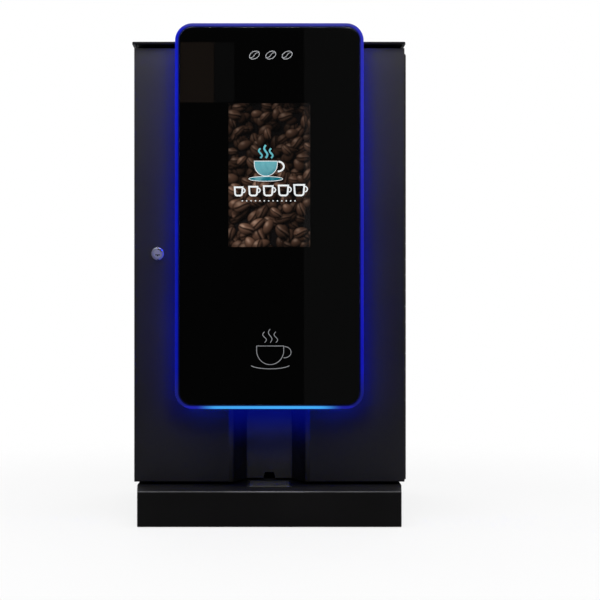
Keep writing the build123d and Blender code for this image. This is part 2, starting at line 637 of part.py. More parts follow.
# ------------------------------------------------------------------ mixer
mx, mz = -122.5, 490.0
with BuildPart() as mixing_bowl:
    with BuildSketch(Plane.XZ.offset(80)):
        with BuildLine():
            Polyline((-205, 574), (-40, 574), (-96, 506), (-149, 506), close=True)
        make_face()
        with Locations((mx, mz)):
            Circle(28)
    extrude(amount=44)
    with BuildSketch(Plane.XZ.offset(82.5)):
        with BuildLine():
            Polyline((-201.5, 575), (-43.5, 575), (-101, 505), (-144, 505), close=True)
        make_face()
        with Locations((mx, mz)):
            Circle(25)
    extrude(amount=39, mode=Mode.SUBTRACT)
    rod_y(mx, mz, -90, -75, 4.05, mode=Mode.SUBTRACT)
    post(mx, -104, 452, 466, 6)
    post(mx, -104, 445, 470, 3.6, mode=Mode.SUBTRACT)
save(mixing_bowl, "mixing_bowl")

with BuildPart() as mixer_impeller:
    rod_y(mx, mz, -112, -73, 4.0)
    rod_y(mx, mz, -104, -101, 20)
    for a in range(6):
        with Locations(Location((mx, -108, mz), (0, a * 60, 0))):
            with Locations((12, 0, 0)):
                Box(15, 8, 1.8)
save(mixer_impeller, "mixer_impeller")

with BuildPart() as gearmotors:
    for x, y, z, bore in ((-175, 92, 624, 5.05), (-70, 92, 624, 5.05), (mx, -78, mz, 4.05)):
        block(x - 24, x + 24, y, y + 22, z - 24, z + 24)
        rod_y(x, z, y + 22, y + 60, 18)
        rod_y(x, z, y - 1, y + 6, bore, mode=Mode.SUBTRACT)
    # brewer drive, hung under the brewer base beside the piston rod
    block(160, 196, -85, -40, 300, 330)
    post(178, -62, 256, 300, 15)
save(gearmotors, "gearmotors")

# silicone tubes from the mixer and the brewer to the funnel
with BuildPart() as drink_tubes:
    with BuildLine() as run1:
        FilletPolyline((mx, -104, 452), (mx, -104, 400), (-12, -116, 368), (-12, -116, 312), radius=[16, 16])
    with BuildSketch(Plane(origin=(mx, -104, 452), z_dir=(0, 0, -1))):
        Circle(5.0)
        Circle(3.4, mode=Mode.SUBTRACT)
    sweep(path=run1.wires()[0])
    with BuildLine() as run2:
        FilletPolyline((184.2, by, 470), (222, by, 470), (222, -120, 420), (222, -120, 352), (12, -116, 352), (12, -116, 312),
                       radius=[16, 16, 18, 18])
    with BuildSketch(Plane(origin=(184.2, by, 470), z_dir=(1, 0, 0))):
        Circle(5.0)
        Circle(3.4, mode=Mode.SUBTRACT)
    sweep(path=run2.wires()[0])
save(drink_tubes, "drink_tubes")

# ------------------------------------------------------------------ rear compartment
with BuildPart() as boiler:
    post(-150, 160, 130, 350, 52)
    fillet(boiler.edges().filter_by(GeomType.CIRCLE), 16)
    for k in range(3):
        a = math.radians(90 + 120 * k)
        post(-150 + 36 * math.cos(a), 160 + 36 * math.sin(a), cab_z0 + sheet, 150, 5)
    post(-150, 160, 349, 372, 9)
    post(-172, 160, 349, 364, 5)
    post(-128, 160, 349, 364, 5)
save(boiler, "boiler")

with BuildPart() as water_pump:
    block(-40, 10, 150, 210, cab_z0 + sheet, 80)
    rod_x(180, 96, -52, 20, 22)
    rod_x(180, 96, 20, 44, 14)
    rod_x(180, 96, 44, 56, 5)
save(water_pump, "water_pump")

with BuildPart() as solenoid_valves:
    for x in (-205, -160, -115, -70):
        block(x - 14, x + 14, 92, 124, 400, 428)
        post(x, 108, 428, 462, 11)
        post(x, 108, 388, 400, 4.5)
save(solenoid_valves, "solenoid_valves")

with BuildPart() as power_supply:
    block(96, 226, 92, 148, 190, 330)
    for k in range(12):
        block(104 + 10 * k, 108 + 10 * k, 120, 160, 205, 315, mode=Mode.SUBTRACT)
save(power_supply, "power_supply")

with BuildPart() as control_board:
    block(50, 228, 98, 99.6, 400, 700)
    for x in (58, 220):
        for z in (408, 550, 692):
            rod_y(x, z, 92, 98, 3)
    for x0, x1, z0, z1, h in ((70, 110, 430, 460, 12), (130, 160, 520, 550, 3), (60, 80, 600, 680, 14),
                              (180, 215, 420, 500, 22), (110, 150, 620, 660, 4), (170, 215, 560, 590, 16),
                              (90, 120, 490, 500, 9), (130, 215, 670, 684, 11)):
        block(x0, x1, 99.6, 99.6 + h, z0, z1)
    for x in (95, 112, 129):
        rod_y(x, 590, 99.6, 122, 6.5)
save(control_board, "control_board")

with BuildPart() as fan_frame:
    with BuildSketch(Plane.XZ.offset(-261)):
        with Locations((0, fan_z)):
            RectangleRounded(92, 92, 6)
            Circle(43, mode=Mode.SUBTRACT)
    extrude(amount=25)
    rod_y(0, fan_z, 256, 261, 17)
    for a in (45, 135, 225, 315):
        with Locations(Location((0, 259.5, fan_z), (0, a, 0))):
            with Locations((30, 0, 0)):
                Box(30, 3, 5)
    rod_y(0, fan_z, 250, 262, 2.05, mode=Mode.SUBTRACT)
save(fan_frame, "fan_frame")

with BuildPart() as fan_rotor:
    rod_y(0, fan_z, 239, 255, 16)
    rod_y(0, fan_z, 254, 260.5, 2.0)
    for k in range(7):
        a = k * 360 / 7
        with Locations(Location((0, 247, fan_z), (0, a, 0))):
            with Locations(Location((28, 0, 0), (32, 0, 0))):
                Box(27, 1.8, 13)
save(fan_rotor, "fan_rotor")

with BuildPart() as power_inlet:
    block(inlet_x - 17, inlet_x + 17, cab_rear, cab_rear + 3, inlet_z - 34, inlet_z + 34)
    fillet(power_inlet.edges().filter_by(Axis.Y), 3)
    block(inlet_x - 13.8, inlet_x + 13.8, 231, cab_rear, inlet_z - 28.8, inlet_z + 28.8)
    # rocker window
    block(inlet_x - 7.2, inlet_x + 7.2, 250, 270, inlet_z + 6, inlet_z + 27, mode=Mode.SUBTRACT)
    rod_x(256, inlet_z + 16.5, inlet_x - 9.2, inlet_x + 9.2, 1.55, mode=Mode.SUBTRACT)
    # socket recess with three blades
    block(inlet_x - 12, inlet_x + 12, 246, 270, inlet_z - 26, inlet_z - 1, mode=Mode.SUBTRACT)
    for dx, dz in ((-7, -16), (7, -16), (0, -10)):
        block(inlet_x + dx - 1, inlet_x + dx + 1, 245, 258, inlet_z + dz - 2, inlet_z + dz + 2)
save(power_inlet, "power_inlet")

with BuildPart() as rocker_switch:
    with BuildSketch(Plane.YZ.offset(inlet_x - 6.8)):
        with BuildLine():
            Polyline((253.5, inlet_z + 9.5), (263.8, inlet_z + 7.6), (262.4, inlet_z + 16.5), (265.6, inlet_z + 23.9), (256.0, inlet_z + 24.0), close=True)
        make_face()
    extrude(amount=13.6)
    rod_x(256, inlet_z + 16.5, inlet_x - 9, inlet_x + 9, 1.5)
save(rocker_switch, "rocker_switch")

with BuildPart() as water_inlet_valve:
    block(valve_x - 22, valve_x + 22, 222, 258, valve_z - 20, valve_z + 20)
    post(valve_x, 236, valve_z + 20, valve_z + 50, 14)
    rod_y(valve_x, valve_z, 258, 261, 18)
    rod_y(valve_x, valve_z, 261, 265.5, 12.6)
    rod_y(valve_x, valve_z, 265.5, 278, 13.2)
    rod_y(valve_x, valve_z, 240, 280, 9.0, mode=Mode.SUBTRACT)
save(water_inlet_valve, "water_inlet_valve")
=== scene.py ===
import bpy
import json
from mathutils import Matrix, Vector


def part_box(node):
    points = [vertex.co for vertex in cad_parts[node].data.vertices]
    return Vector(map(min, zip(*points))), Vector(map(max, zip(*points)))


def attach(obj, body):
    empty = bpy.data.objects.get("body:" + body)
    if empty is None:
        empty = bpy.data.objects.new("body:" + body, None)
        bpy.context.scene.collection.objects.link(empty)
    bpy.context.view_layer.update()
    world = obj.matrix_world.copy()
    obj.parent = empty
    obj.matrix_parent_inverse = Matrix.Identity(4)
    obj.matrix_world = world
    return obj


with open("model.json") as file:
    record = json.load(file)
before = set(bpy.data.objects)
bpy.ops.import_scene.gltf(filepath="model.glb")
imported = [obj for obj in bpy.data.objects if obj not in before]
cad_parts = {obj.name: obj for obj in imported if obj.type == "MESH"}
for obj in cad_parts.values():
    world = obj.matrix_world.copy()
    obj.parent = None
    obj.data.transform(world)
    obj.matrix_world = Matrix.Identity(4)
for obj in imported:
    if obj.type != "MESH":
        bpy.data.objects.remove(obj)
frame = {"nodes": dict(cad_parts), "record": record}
LED, UNDER = 48.0, 1.2        # radiance of the strip behind the panel and of the guide's lower edge
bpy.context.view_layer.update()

import json
import math

import bmesh
import bpy
import numpy as np
from mathutils import Vector

scene = bpy.context.scene
nodes = frame["nodes"]
record = frame["record"]

# ---------------------------------------------------------------- view
cam_data = bpy.data.cameras.new("camera")
cam_data.sensor_width = 36.0
cam_data.lens = 87.52
cam_data.shift_x = 0.0511
cam_data.clip_start, cam_data.clip_end = 0.05, 60
cam = bpy.data.objects.new("camera", cam_data)
scene.collection.objects.link(cam)
cam.location = (0.0, -2.837, 0.3995)
cam.rotation_euler = (math.radians(90), 0, 0)
scene.camera = cam

scene.view_settings.view_transform = "Standard"
scene.view_settings.look = "None"
scene.view_settings.exposure = 0.0
scene.view_settings.gamma = 1.0


# ---------------------------------------------------------------- material kit
class Mat:
    """A Principled material with short calls for the nodes that drive it."""

    def __init__(self, name, base=(0.8, 0.8, 0.8), rough=0.5, metal=0.0, **sockets):
        self.m = bpy.data.materials.new(name)
        self.m.use_nodes = True
        self.t = self.m.node_tree
        self.n, self.l = self.t.nodes, self.t.links
        self.n.clear()
        self.out = self.n.new("ShaderNodeOutputMaterial")
        self.p = self.n.new("ShaderNodeBsdfPrincipled")
        self.l.new(self.p.outputs[0], self.out.inputs[0])
        self.co = self.n.new("ShaderNodeTexCoord").outputs["Object"]
        self.base = base
        self.p.inputs["Base Color"].default_value = (*base[:3], 1)
        self.p.inputs["Roughness"].default_value = rough
        self.p.inputs["Metallic"].default_value = metal
        for k, v in sockets.items():
            self.p.inputs[k.replace("_", " ")].default_value = v
        self.normal = None

    def put(self, socket, value):
        if hasattr(value, "is_linked") or isinstance(value, bpy.types.NodeSocket):
            self.l.new(value, socket)
        elif isinstance(value, (tuple, list)) and len(value) == 3 and socket.type == "RGBA":
            socket.default_value = (*value, 1)
        else:
            socket.default_value = value

    def scaled(self, s, rot=(0, 0, 0)):
        node = self.n.new("ShaderNodeMapping")
        self.l.new(self.co, node.inputs["Vector"])
        node.inputs["Scale"].default_value = s if isinstance(s, (tuple, list)) else (s, s, s)
        node.inputs["Rotation"].default_value = rot
        return node.outputs[0]

    def noise(self, scale, detail=3.0, rough=0.5, vec=None, distortion=0.0):
        node = self.n.new("ShaderNodeTexNoise")
        self.l.new(vec or self.co, node.inputs["Vector"])
        node.inputs["Scale"].default_value = scale
        node.inputs["Detail"].default_value = detail
        node.inputs["Roughness"].default_value = rough
        node.inputs["Distortion"].default_value = distortion
        return node.outputs["Fac"]

    def voronoi(self, scale, feature="F1", vec=None, out="Distance", randomness=1.0):
        node = self.n.new("ShaderNodeTexVoronoi")
        node.feature = feature
        self.l.new(vec or self.co, node.inputs["Vector"])
        node.inputs["Scale"].default_value = scale
        node.inputs["Randomness"].default_value = randomness
        return node.outputs[out]

    def wave(self, scale, direction="Z", vec=None, distortion=0.0, detail=2.0, profile="SIN"):
        node = self.n.new("ShaderNodeTexWave")
        node.bands_direction = direction
        node.wave_profile = profile
        self.l.new(vec or self.co, node.inputs["Vector"])
        node.inputs["Scale"].default_value = scale
        node.inputs["Distortion"].default_value = distortion
        node.inputs["Detail"].default_value = detail
        return node.outputs["Fac"]

    def math(self, op, a, b=None, c=None, clamp=False):
        node = self.n.new("ShaderNodeMath")
        node.operation = op
        node.use_clamp = clamp
        for i, v in enumerate((a, b, c)):
            if v is not None:
                self.put(node.inputs[i], v)
        return node.outputs[0]

    def span(self, value, a, b, lo, hi, smooth=True):
        """value from a..b onto lo..hi"""
        node = self.n.new("ShaderNodeMapRange")
        node.interpolation_type = "SMOOTHSTEP" if smooth else "LINEAR"
        self.put(node.inputs["Value"], value)
        node.inputs["From Min"].default_value = a
        node.inputs["From Max"].default_value = b
        node.inputs["To Min"].default_value = lo
        node.inputs["To Max"].default_value = hi
        return node.outputs["Result"]

    def mix(self, fac, a, b, mode="MIX"):
        node = self.n.new("ShaderNodeMix")
        node.data_type = "RGBA"
        node.blend_type = mode
        node.clamp_factor = True
        self.put(node.inputs["Factor"], fac)
        self.put(node.inputs[6], a)
        self.put(node.inputs[7], b)
        return node.outputs[2]

    def axes(self, vec=None):
        node = self.n.new("ShaderNodeSeparateXYZ")
        self.l.new(vec or self.co, node.inputs[0])
        return node.outputs

    def color(self, value):
        self.put(self.p.inputs["Base Color"], value)

    def roughness(self, value):
        self.put(self.p.inputs["Roughness"], value)

    def bump(self, height, distance, strength=1.0):
        node = self.n.new("ShaderNodeBump")
        node.inputs["Distance"].default_value = distance
        node.inputs["Strength"].default_value = strength
        self.put(node.inputs["Height"], height)
        if self.normal is not None:
            self.l.new(self.normal, node.inputs["Normal"])
        self.normal = node.outputs[0]
        self.l.new(self.normal, self.p.inputs["Normal"])

    def edges(self, radius=0.0012, samples=4):
        """0 on flats, rising to 1 on outside and inside edges."""
        bev = self.n.new("ShaderNodeBevel")
        bev.samples = samples
        bev.inputs["Radius"].default_value = radius
        geo = self.n.new("ShaderNodeNewGeometry")
        dot = self.n.new("ShaderNodeVectorMath")
        dot.operation = "DOT_PRODUCT"
        self.l.new(bev.outputs[0], dot.inputs[0])
        self.l.new(geo.outputs["Normal"], dot.inputs[1])
        return self.span(dot.outputs["Value"], 0.995, 0.86, 0.0, 1.0)


def mul(c, k):
    return tuple(min(1.0, v * k) for v in c[:3])


def powder(name, base, rough=0.42, peel=0.00005, edge=True, vary=0.16, **kw):
    """Fine satin powder coat: orange peel, slow tone drift, faint wiped patches, edges lightened as rubbed wear and as
    a painted edge highlight.
    """
    m = Mat(name, base, rough, **kw)
    drift = m.noise(5.0, 3.0, 0.55)
    speck = m.noise(900.0, 2.0, 0.6)
    c = m.mix(m.span(drift, 0.35, 0.65, 0, 1), mul(base, 1 - vary), mul(base, 1 + vary))
    c = m.mix(m.span(speck, 0.55, 0.75, 0, 0.35), c, mul(base, 1.9))
    if edge:
        # painted highlight mixed with rubbed wear: edges are painted lighter than the flat paint, in noisy patches
        edge_wear_and_highlight = m.math("MULTIPLY", m.edges(), m.span(m.noise(60.0, 4.0, 0.6), 0.42, 0.62, 0.15, 0.8))
        c = m.mix(edge_wear_and_highlight, c, tuple(1.3 * v + 0.012 for v in base[:3]))
    m.tone = c
    m.color(c)
    wiped = m.noise(11.0, 4.0, 0.6, distortion=0.6)
    m.roughness(m.math("ADD", m.span(wiped, 0.3, 0.7, rough - 0.03, rough + 0.035), m.span(speck, 0.3, 0.7, -0.02, 0.02)))
    m.bump(m.noise(700.0, 3.0, 0.55), peel)
    return m


def moulded(name, base, rough=0.5, grain=0.00006, scale=1500.0, **kw):
    """Textured injection moulding: spark-eroded grain, slight flow marks."""
    m = Mat(name, base, rough, **kw)
    g = m.noise(scale, 2.5, 0.6)
    flow = m.noise(9.0, 2.0, 0.5, distortion=1.2)
    c = m.mix(m.span(flow, 0.3, 0.7, 0, 1), mul(base, 0.88), mul(base, 1.12))
    c = m.mix(m.span(g, 0.4, 0.7, 0, 0.25), c, mul(base, 1.5))
    m.tone = c
    m.color(c)
    m.roughness(m.span(m.noise(30.0, 4.0, 0.6), 0.3, 0.7, rough - 0.06, rough + 0.08))
    m.bump(g, grain)
    return m


def brushed(name, base, rough=0.32, along="X", metal=1.0, depth=0.00003, **kw):
    m = Mat(name, base, rough, metal, **kw)
    s = {"X": (14, 1100, 1100), "Y": (1100, 14, 1100), "Z": (1100, 1100, 14)}[along]
    hair = m.noise(1.0, 4.0, 0.65, vec=m.scaled(s))
    cloud = m.noise(22.0, 4.0, 0.6)
    c = m.mix(m.span(hair, 0.3, 0.7, 0, 1), mul(base, 0.84), mul(base, 1.1))
    c = m.mix(m.span(cloud, 0.45, 0.75, 0, 0.35), c, mul(base, 0.7))
    m.color(c)
    m.roughness(m.math("ADD", m.span(hair, 0.3, 0.7, rough - 0.08, rough + 0.1), m.span(cloud, 0.3, 0.7, -0.04, 0.06)))
    m.bump(hair, depth)
    return m


def zinc(name, base=(0.52, 0.54, 0.56), rough=0.38):
    """Hot-dip coated sheet with its spangle."""
    m = Mat(name, base, rough, 0.9)
    cell = m.voronoi(70.0, out="Color")
    grey = m.axes(cell)[0]
    fine = m.noise(260.0, 4.0, 0.6)
    c = m.mix(grey, mul(base, 0.72), mul(base, 1.15))
    c = m.mix(m.span(fine, 0.4, 0.75, 0, 0.3), c, mul(base, 0.6))
    m.color(c)
    m.roughness(m.math("ADD", m.span(grey, 0, 1, rough - 0.09, rough + 0.1, False), m.span(fine, 0.3, 0.7, -0.03, 0.04)))
    m.bump(m.noise(120.0, 3.0, 0.5), 0.00003)
    return m


def rubber(name, base=(0.018, 0.018, 0.019), rough=0.78):
    m = Mat(name, base, rough)
    g = m.noise(1300.0, 3.0, 0.6)
    dust = m.noise(40.0, 5.0, 0.65)
    m.color(m.mix(m.span(dust, 0.45, 0.75, 0, 0.5), base, tuple(v * 1.5 + 0.012 for v in base)))
    m.roughness(m.span(dust, 0.3, 0.7, rough - 0.1, rough + 0.1))
    m.bump(g, 0.00008)
    return m


def polished(name, base, rough=0.14, turned=None):
    """Plated metal; turned = (x, z) draws fine lathe rings about a Y axis."""
    m = Mat(name, base, rough, 1.0)
    hazy = m.noise(90.0, 4.0, 0.6)
    m.color(m.mix(m.span(hazy, 0.4, 0.75, 0, 0.4), base, mul(base, 0.72)))
    m.roughness(m.span(hazy, 0.3, 0.7, rough - 0.04, rough + 0.1))
    if turned:
        ax = m.axes()
        dx = m.math("SUBTRACT", ax[0], turned[0])
        dz = m.math("SUBTRACT", ax[2], turned[1])
        r = m.math("SQRT", m.math("ADD", m.math("MULTIPLY", dx, dx), m.math("MULTIPLY", dz, dz)))
        rings = m.math("SINE", m.math("MULTIPLY", r, 9000.0))
        m.bump(rings, 0.000012)
    else:
        m.bump(m.noise(400.0, 3.0, 0.5), 0.00001)
    return m


def clear_plastic(name, base, rough=0.12, trans=0.85):
    m = Mat(name, base, rough, 0.0)
    m.p.inputs["Transmission Weight"].default_value = trans
    m.p.inputs["IOR"].default_value = 1.49
    haze = m.noise(14.0, 5.0, 0.65, distortion=0.8)
    m.color(m.mix(m.span(haze, 0.4, 0.75, 0, 0.5), base, mul(base, 0.8)))
    m.roughness(m.span(haze, 0.3, 0.7, rough - 0.05, rough + 0.12))
    m.bump(m.noise(220.0, 2.0, 0.5), 0.00002)
    return m


def dress(name, mat):
    o = nodes[name]
    if not o.material_slots:
        o.data.materials.append(None)
    for s in o.material_slots:
        s.link = "OBJECT"
        s.material = mat.m


# ---------------------------------------------------------------- materials of the CAD nodes
charcoal = (0.0212, 0.0203, 0.0258)
m_door = powder("door_powder_coat", charcoal, 0.40, vary=0.09)
m_cab = powder("cabinet_powder_coat", mul(charcoal, 0.85), 0.46, vary=0.07)
m_lid = powder("lid_powder_coat", mul(charcoal, 0.85), 0.46, edge=False)
m_lid.p.inputs["Specular IOR Level"].default_value = 0.12
lid_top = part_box("lid")[1][2]
# painted shade: below its top 1 to 2 mm the lid's front face and underside are painted near black
shade = m_lid.span(m_lid.axes()[2], lid_top - 0.0022, lid_top - 0.0010, 0.0, 1.0)
m_lid.color(m_lid.mix(shade, (0.0022, 0.0020, 0.0032), m_lid.tone))
m_rear = powder("rear_powder_coat", mul(charcoal, 1.0), 0.50, vary=0.08)
m_plinth = powder("plinth_powder_coat", (0.0085, 0.0080, 0.0085), 0.42)
m_plinth.p.inputs["Specular IOR Level"].default_value = 0.22
k_lo, k_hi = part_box("plinth_shell")
ax = m_plinth.axes()
# painted highlight: a thin band along the plinth's top front fold is painted light grey, brightest at the middle, for
# the light the fold catches
plinth_highlight_band = m_plinth.math("MULTIPLY", m_plinth.span(ax[2], k_hi[2] - 0.0032, k_hi[2] - 0.0012, 0.0, 1.0), m_plinth.span(ax[1], k_lo[1] + 0.0035, k_lo[1] + 0.0012, 0.0, 1.0))
painted_edge_highlight = m_plinth.mix(m_plinth.span(m_plinth.math("ABSOLUTE", ax[0]), 0.03, 0.10, 0.0, 1.0), (0.25, 0.25, 0.26), (0.13, 0.13, 0.135))
m_plinth.color(m_plinth.mix(m_plinth.math("MULTIPLY", plinth_highlight_band, m_plinth.span(m_plinth.noise(45.0, 4.0, 0.6), 0.3, 0.7, 0.75, 1.0)), m_plinth.tone, painted_edge_highlight))
# painted shade round the lit panel: the paint darkens to a deep blue near the panel and fades out over a few
# centimetres, standing in for the panel's shadow and its blue glow
p_lo, p_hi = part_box("light_guide")
ax = m_door.axes()
ex = m_door.math("MAXIMUM", m_door.math("SUBTRACT", m_door.math("ABSOLUTE", ax[0]), p_hi[0]), 0.0)
ez = m_door.math("MAXIMUM", m_door.math("SUBTRACT", p_lo[2], ax[2]), 0.0)
away = m_door.math("SQRT", m_door.math("ADD", m_door.math("MULTIPLY", m_door.math("MULTIPLY", ex, ex), 3.2), m_door.math("MULTIPLY", ez, ez)))
door_painted_shade = m_door.mix(m_door.span(away, 0.002, 0.056, 1.0, 0.0), (1.0, 1.0, 1.0), (0.05, 0.10, 0.90))
m_door.color(m_door.mix(1.0, m_door.tone, door_painted_shade, "MULTIPLY"))
for n in ("side_panel_left", "side_panel_right", "cabinet_frame"):
    dress(n, m_cab)
dress("door_skin", m_door)
dress("lid", m_lid)
dress("rear_panel", m_rear)
dress("base_pan", powder("base_pan_coat", mul(charcoal, 0.5), 0.55, edge=False))
dress("plinth_shell", m_plinth)

m_zinc = zinc("galvanised_sheet")
for n in ("plinth_bottom_plate", "bulkhead", "shelf", "door_inner_panel", "brew_frame"):
    dress(n, m_zinc)

m_hinge = powder("hinge_paint", (0.0035, 0.0034, 0.0045), 0.55, edge=False)
m_hinge.p.inputs["Specular IOR Level"].default_value = 0.02
for n in ("hinge_cabinet_leaf", "hinge_door_leaf"):
    dress(n, m_hinge)
m_fix = brushed("black_oxide_fixings", (0.13, 0.13, 0.14), 0.36, "X", metal=0.9)
for n in ("hinge_pins", "lid_hinge_straps", "lid_hinge_brackets", "rear_screws"):
    dress(n, m_fix)

dress("rubber_feet", rubber("foot_rubber"))
dress("door_gasket", rubber("gasket_foam", (0.022, 0.022, 0.023), 0.85))
m_niche = moulded("niche_moulding", (0.108, 0.1030, 0.0980), 0.46)
m_niche.p.inputs["Specular IOR Level"].default_value = 0.3
ax = m_niche.axes()
n_nor = m_niche.axes(m_niche.n.new("ShaderNodeTexCoord").outputs["Normal"])
# painted glow: the liner's upper faces emit blue light though the liner is no lamp, standing in for the panel's glow
# falling into the niche
painted_glow_fade = m_niche.math("MULTIPLY", m_niche.span(ax[2], 0.198, 0.112, 1.0, 0.0), m_niche.span(n_nor[1], -0.10, -0.25, 0.0, 1.0))
m_niche.p.inputs["Emission Color"].default_value = (0.0, 0.012, 1.0, 1)
m_niche.put(m_niche.p.inputs["Emission Strength"], m_niche.math("MULTIPLY", m_niche.math("MULTIPLY", painted_glow_fade, painted_glow_fade), 0.125))
# painted shade and light: the liner is painted darker and bluer just under the panel, dark on its side cheeks, darker
# on its front flange and towards the deck, leaving the back wall lighter
niche_painted_shade = m_niche.mix(m_niche.span(ax[2], 0.192, 0.150, 1.0, 0.0), (1.0, 1.0, 1.0), (0.10, 0.13, 0.4))
cheek_painted_shade = m_niche.span(m_niche.math("ABSOLUTE", n_nor[0]), 0.60, 0.90, 0.0, 1.0)
niche_painted_shade = m_niche.mix(cheek_painted_shade, niche_painted_shade, (0.14, 0.14, 0.14))
niche_painted_shade = m_niche.mix(m_niche.span(ax[1], -0.181, -0.140, 1.0, 0.0), niche_painted_shade, m_niche.mix(1.0, niche_painted_shade, (0.32, 0.32, 0.34), "MULTIPLY"))
niche_painted_shade = m_niche.mix(m_niche.span(ax[2], 0.078, 0.122, 1.0, 0.0), niche_painted_shade, m_niche.mix(1.0, niche_painted_shade, (0.55, 0.55, 0.45), "MULTIPLY"))
m_niche.color(m_niche.mix(1.0, m_niche.tone, niche_painted_shade, "MULTIPLY"))
dress("niche_liner", m_niche)
dress("drink_spout", moulded("spout_moulding", (0.03, 0.03, 0.031), 0.3, 0.00003))
m_tray = moulded("tray_moulding", (0.020, 0.0195, 0.0180), 0.5)
m_tray.p.inputs["Specular IOR Level"].default_value = 0.15
dress("drip_tray", m_tray)
dress("drip_grille", brushed("grille_steel", (0.30, 0.29, 0.24), 0.40, "X", metal=0.70))

m_lock = polished("lock_chrome", (0.74, 0.74, 0.75), 0.30, turned=(-0.2034, 0.4836))
dress("lock_body", m_lock)
m_plug = polished("plug_nickel", (0.80, 0.80, 0.80), 0.42, turned=(-0.2034, 0.4836))
q_lo, q_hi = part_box("lock_plug")
# painted shade: from 1.2 mm behind its front face the plug fades to near black by 2.2 mm, darkening the keyway
m_plug.color(m_plug.mix(m_plug.span(m_plug.axes()[1], q_lo[1] + 0.0012, q_lo[1] + 0.0022, 0.0, 1.0), (0.80, 0.80, 0.80), (0.01, 0.01, 0.01)))
dress("lock_plug", m_plug)
dress("lock_cam", brushed("cam_zinc", (0.55, 0.56, 0.57), 0.34, "Z"))

dress("panel_housing", powder("panel_housing_coat", (0.020, 0.020, 0.022), 0.40))

# glass: clear, very slightly smudged, over a printed black mask
m_glass = Mat("front_glass", (0.97, 0.985, 0.99), 0.012)
m_glass.p.inputs["Transmission Weight"].default_value = 1.0
m_glass.p.inputs["IOR"].default_value = 1.46
smudge = m_glass.noise(9.0, 5.0, 0.62, distortion=1.4)
m_glass.roughness(m_glass.span(smudge, 0.5, 0.78, 0.006, 0.05))
m_glass.bump(m_glass.noise(3.2, 1.0, 0.4), 0.00002)
dress("glass_front", m_glass)

m_mask = Mat("mask_print", (0.0035, 0.0035, 0.0038), 0.35)
m_mask.color(m_mask.mix(m_mask.span(m_mask.noise(500.0, 2.0, 0.5), 0.4, 0.7, 0, 1), (0.003, 0.003, 0.0033), (0.0046, 0.0045, 0.005)))
m_mask.bump(m_mask.noise(1600.0, 2.0, 0.5), 0.00001)
dress("glass_mask", m_mask)

# edge-lit rim: deep blue down the sides, cyan along the foot, violet-blue on top
m_rim = Mat("rim_edge_lit", (0.005, 0.007, 0.05), 0.3)
m_rim.p.inputs["Specular IOR Level"].default_value = 0.06
ax = m_rim.axes()
g_lo, g_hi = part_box("light_guide")
hx, hz, rad = (g_hi[0] - g_lo[0]) / 2, (g_hi[2] - g_lo[2]) / 2, 0.031
zc = (g_hi[2] + g_lo[2]) / 2
absx = m_rim.math("ABSOLUTE", ax[0])
qx = m_rim.math("SUBTRACT", absx, hx - rad)
qz = m_rim.math("SUBTRACT", m_rim.math("ABSOLUTE", m_rim.math("SUBTRACT", ax[2], zc)), hz - rad)
px_, pz_ = m_rim.math("MAXIMUM", qx, 0.0), m_rim.math("MAXIMUM", qz, 0.0)
out_len = m_rim.math("SQRT", m_rim.math("ADD", m_rim.math("MULTIPLY", px_, px_), m_rim.math("MULTIPLY", pz_, pz_)))
inset = m_rim.math("SUBTRACT", rad, m_rim.math("ADD", out_len, m_rim.math("MINIMUM", m_rim.math("MAXIMUM", qx, qz), 0.0)))
band = m_rim.span(inset, 0.0040, 0.0070, 1.0, 0.04)
top = m_rim.span(ax[2], zc + hz - 0.012, zc + hz - 0.002, 0.0, 1.0)
foot_z = m_rim.span(ax[2], zc - hz + 0.0062, zc - hz + 0.0048, 0.0, 1.0)
foot = m_rim.math("MULTIPLY", foot_z, m_rim.span(absx, 0.131, 0.088, 0.0, 1.0))
upper = m_rim.span(ax[2], 0.25, 0.86, 0.0, 1.0)
patch = m_rim.span(m_rim.noise(7.0, 2.0, 0.5), 0.3, 0.7, 0.90, 1.10)
left = m_rim.mix(upper, (0.0016, 0.0045, 0.290), (0.0022, 0.0065, 0.470))
# painted highlight: the right side's glow turns paler higher up, standing in for studio light caught on the rim's
# polished chamfer
right_glow_painted_highlight = m_rim.mix(upper, (0.0050, 0.0060, 0.400), (0.022, 0.023, 0.420))
glow = m_rim.mix(m_rim.span(ax[0], -0.05, 0.05, 0.0, 1.0), left, right_glow_painted_highlight)
glow = m_rim.mix(m_rim.span(ax[2], 0.225, 0.285, 1.0, 0.0), glow, (0.008, 0.010, 0.150))
glow = m_rim.mix(top, glow, (0.040, 0.042, 0.260))
glow = m_rim.mix(foot_z, glow, (0.012, 0.014, 0.320))
glow = m_rim.mix(foot, glow, (0.055, 0.380, 0.860))
under = m_rim.n.new("ShaderNodeNewGeometry")
under_sep = m_rim.n.new("ShaderNodeSeparateXYZ")
m_rim.l.new(under.outputs["Normal"], under_sep.inputs[0])
down = m_rim.math("MULTIPLY", m_rim.span(under_sep.outputs[2], -0.98, -0.995, 0.0, 1.0), m_rim.span(ax[2], zc - hz + 0.0004, zc - hz + 0.0002, 0.0, 1.0))
strength = m_rim.math("MULTIPLY", patch, m_rim.math("MAXIMUM", band, m_rim.math("MULTIPLY", down, 1.0)))
glow = m_rim.mix(down, glow, (0.010, 0.050, 1.0))
strength = m_rim.math("ADD", strength, m_rim.math("MULTIPLY", down, UNDER))
m_rim.put(m_rim.p.inputs["Emission Color"], glow)
m_rim.put(m_rim.p.inputs["Emission Strength"], strength)
m_rim.color(m_rim.mix(m_rim.span(m_rim.noise(60.0, 3.0, 0.5), 0.3, 0.7, 0, 1), (0.004, 0.006, 0.040), (0.006, 0.009, 0.060)))
m_rim.bump(m_rim.noise(120.0, 2.0, 0.5), 0.00002)
dress("light_guide", m_rim)

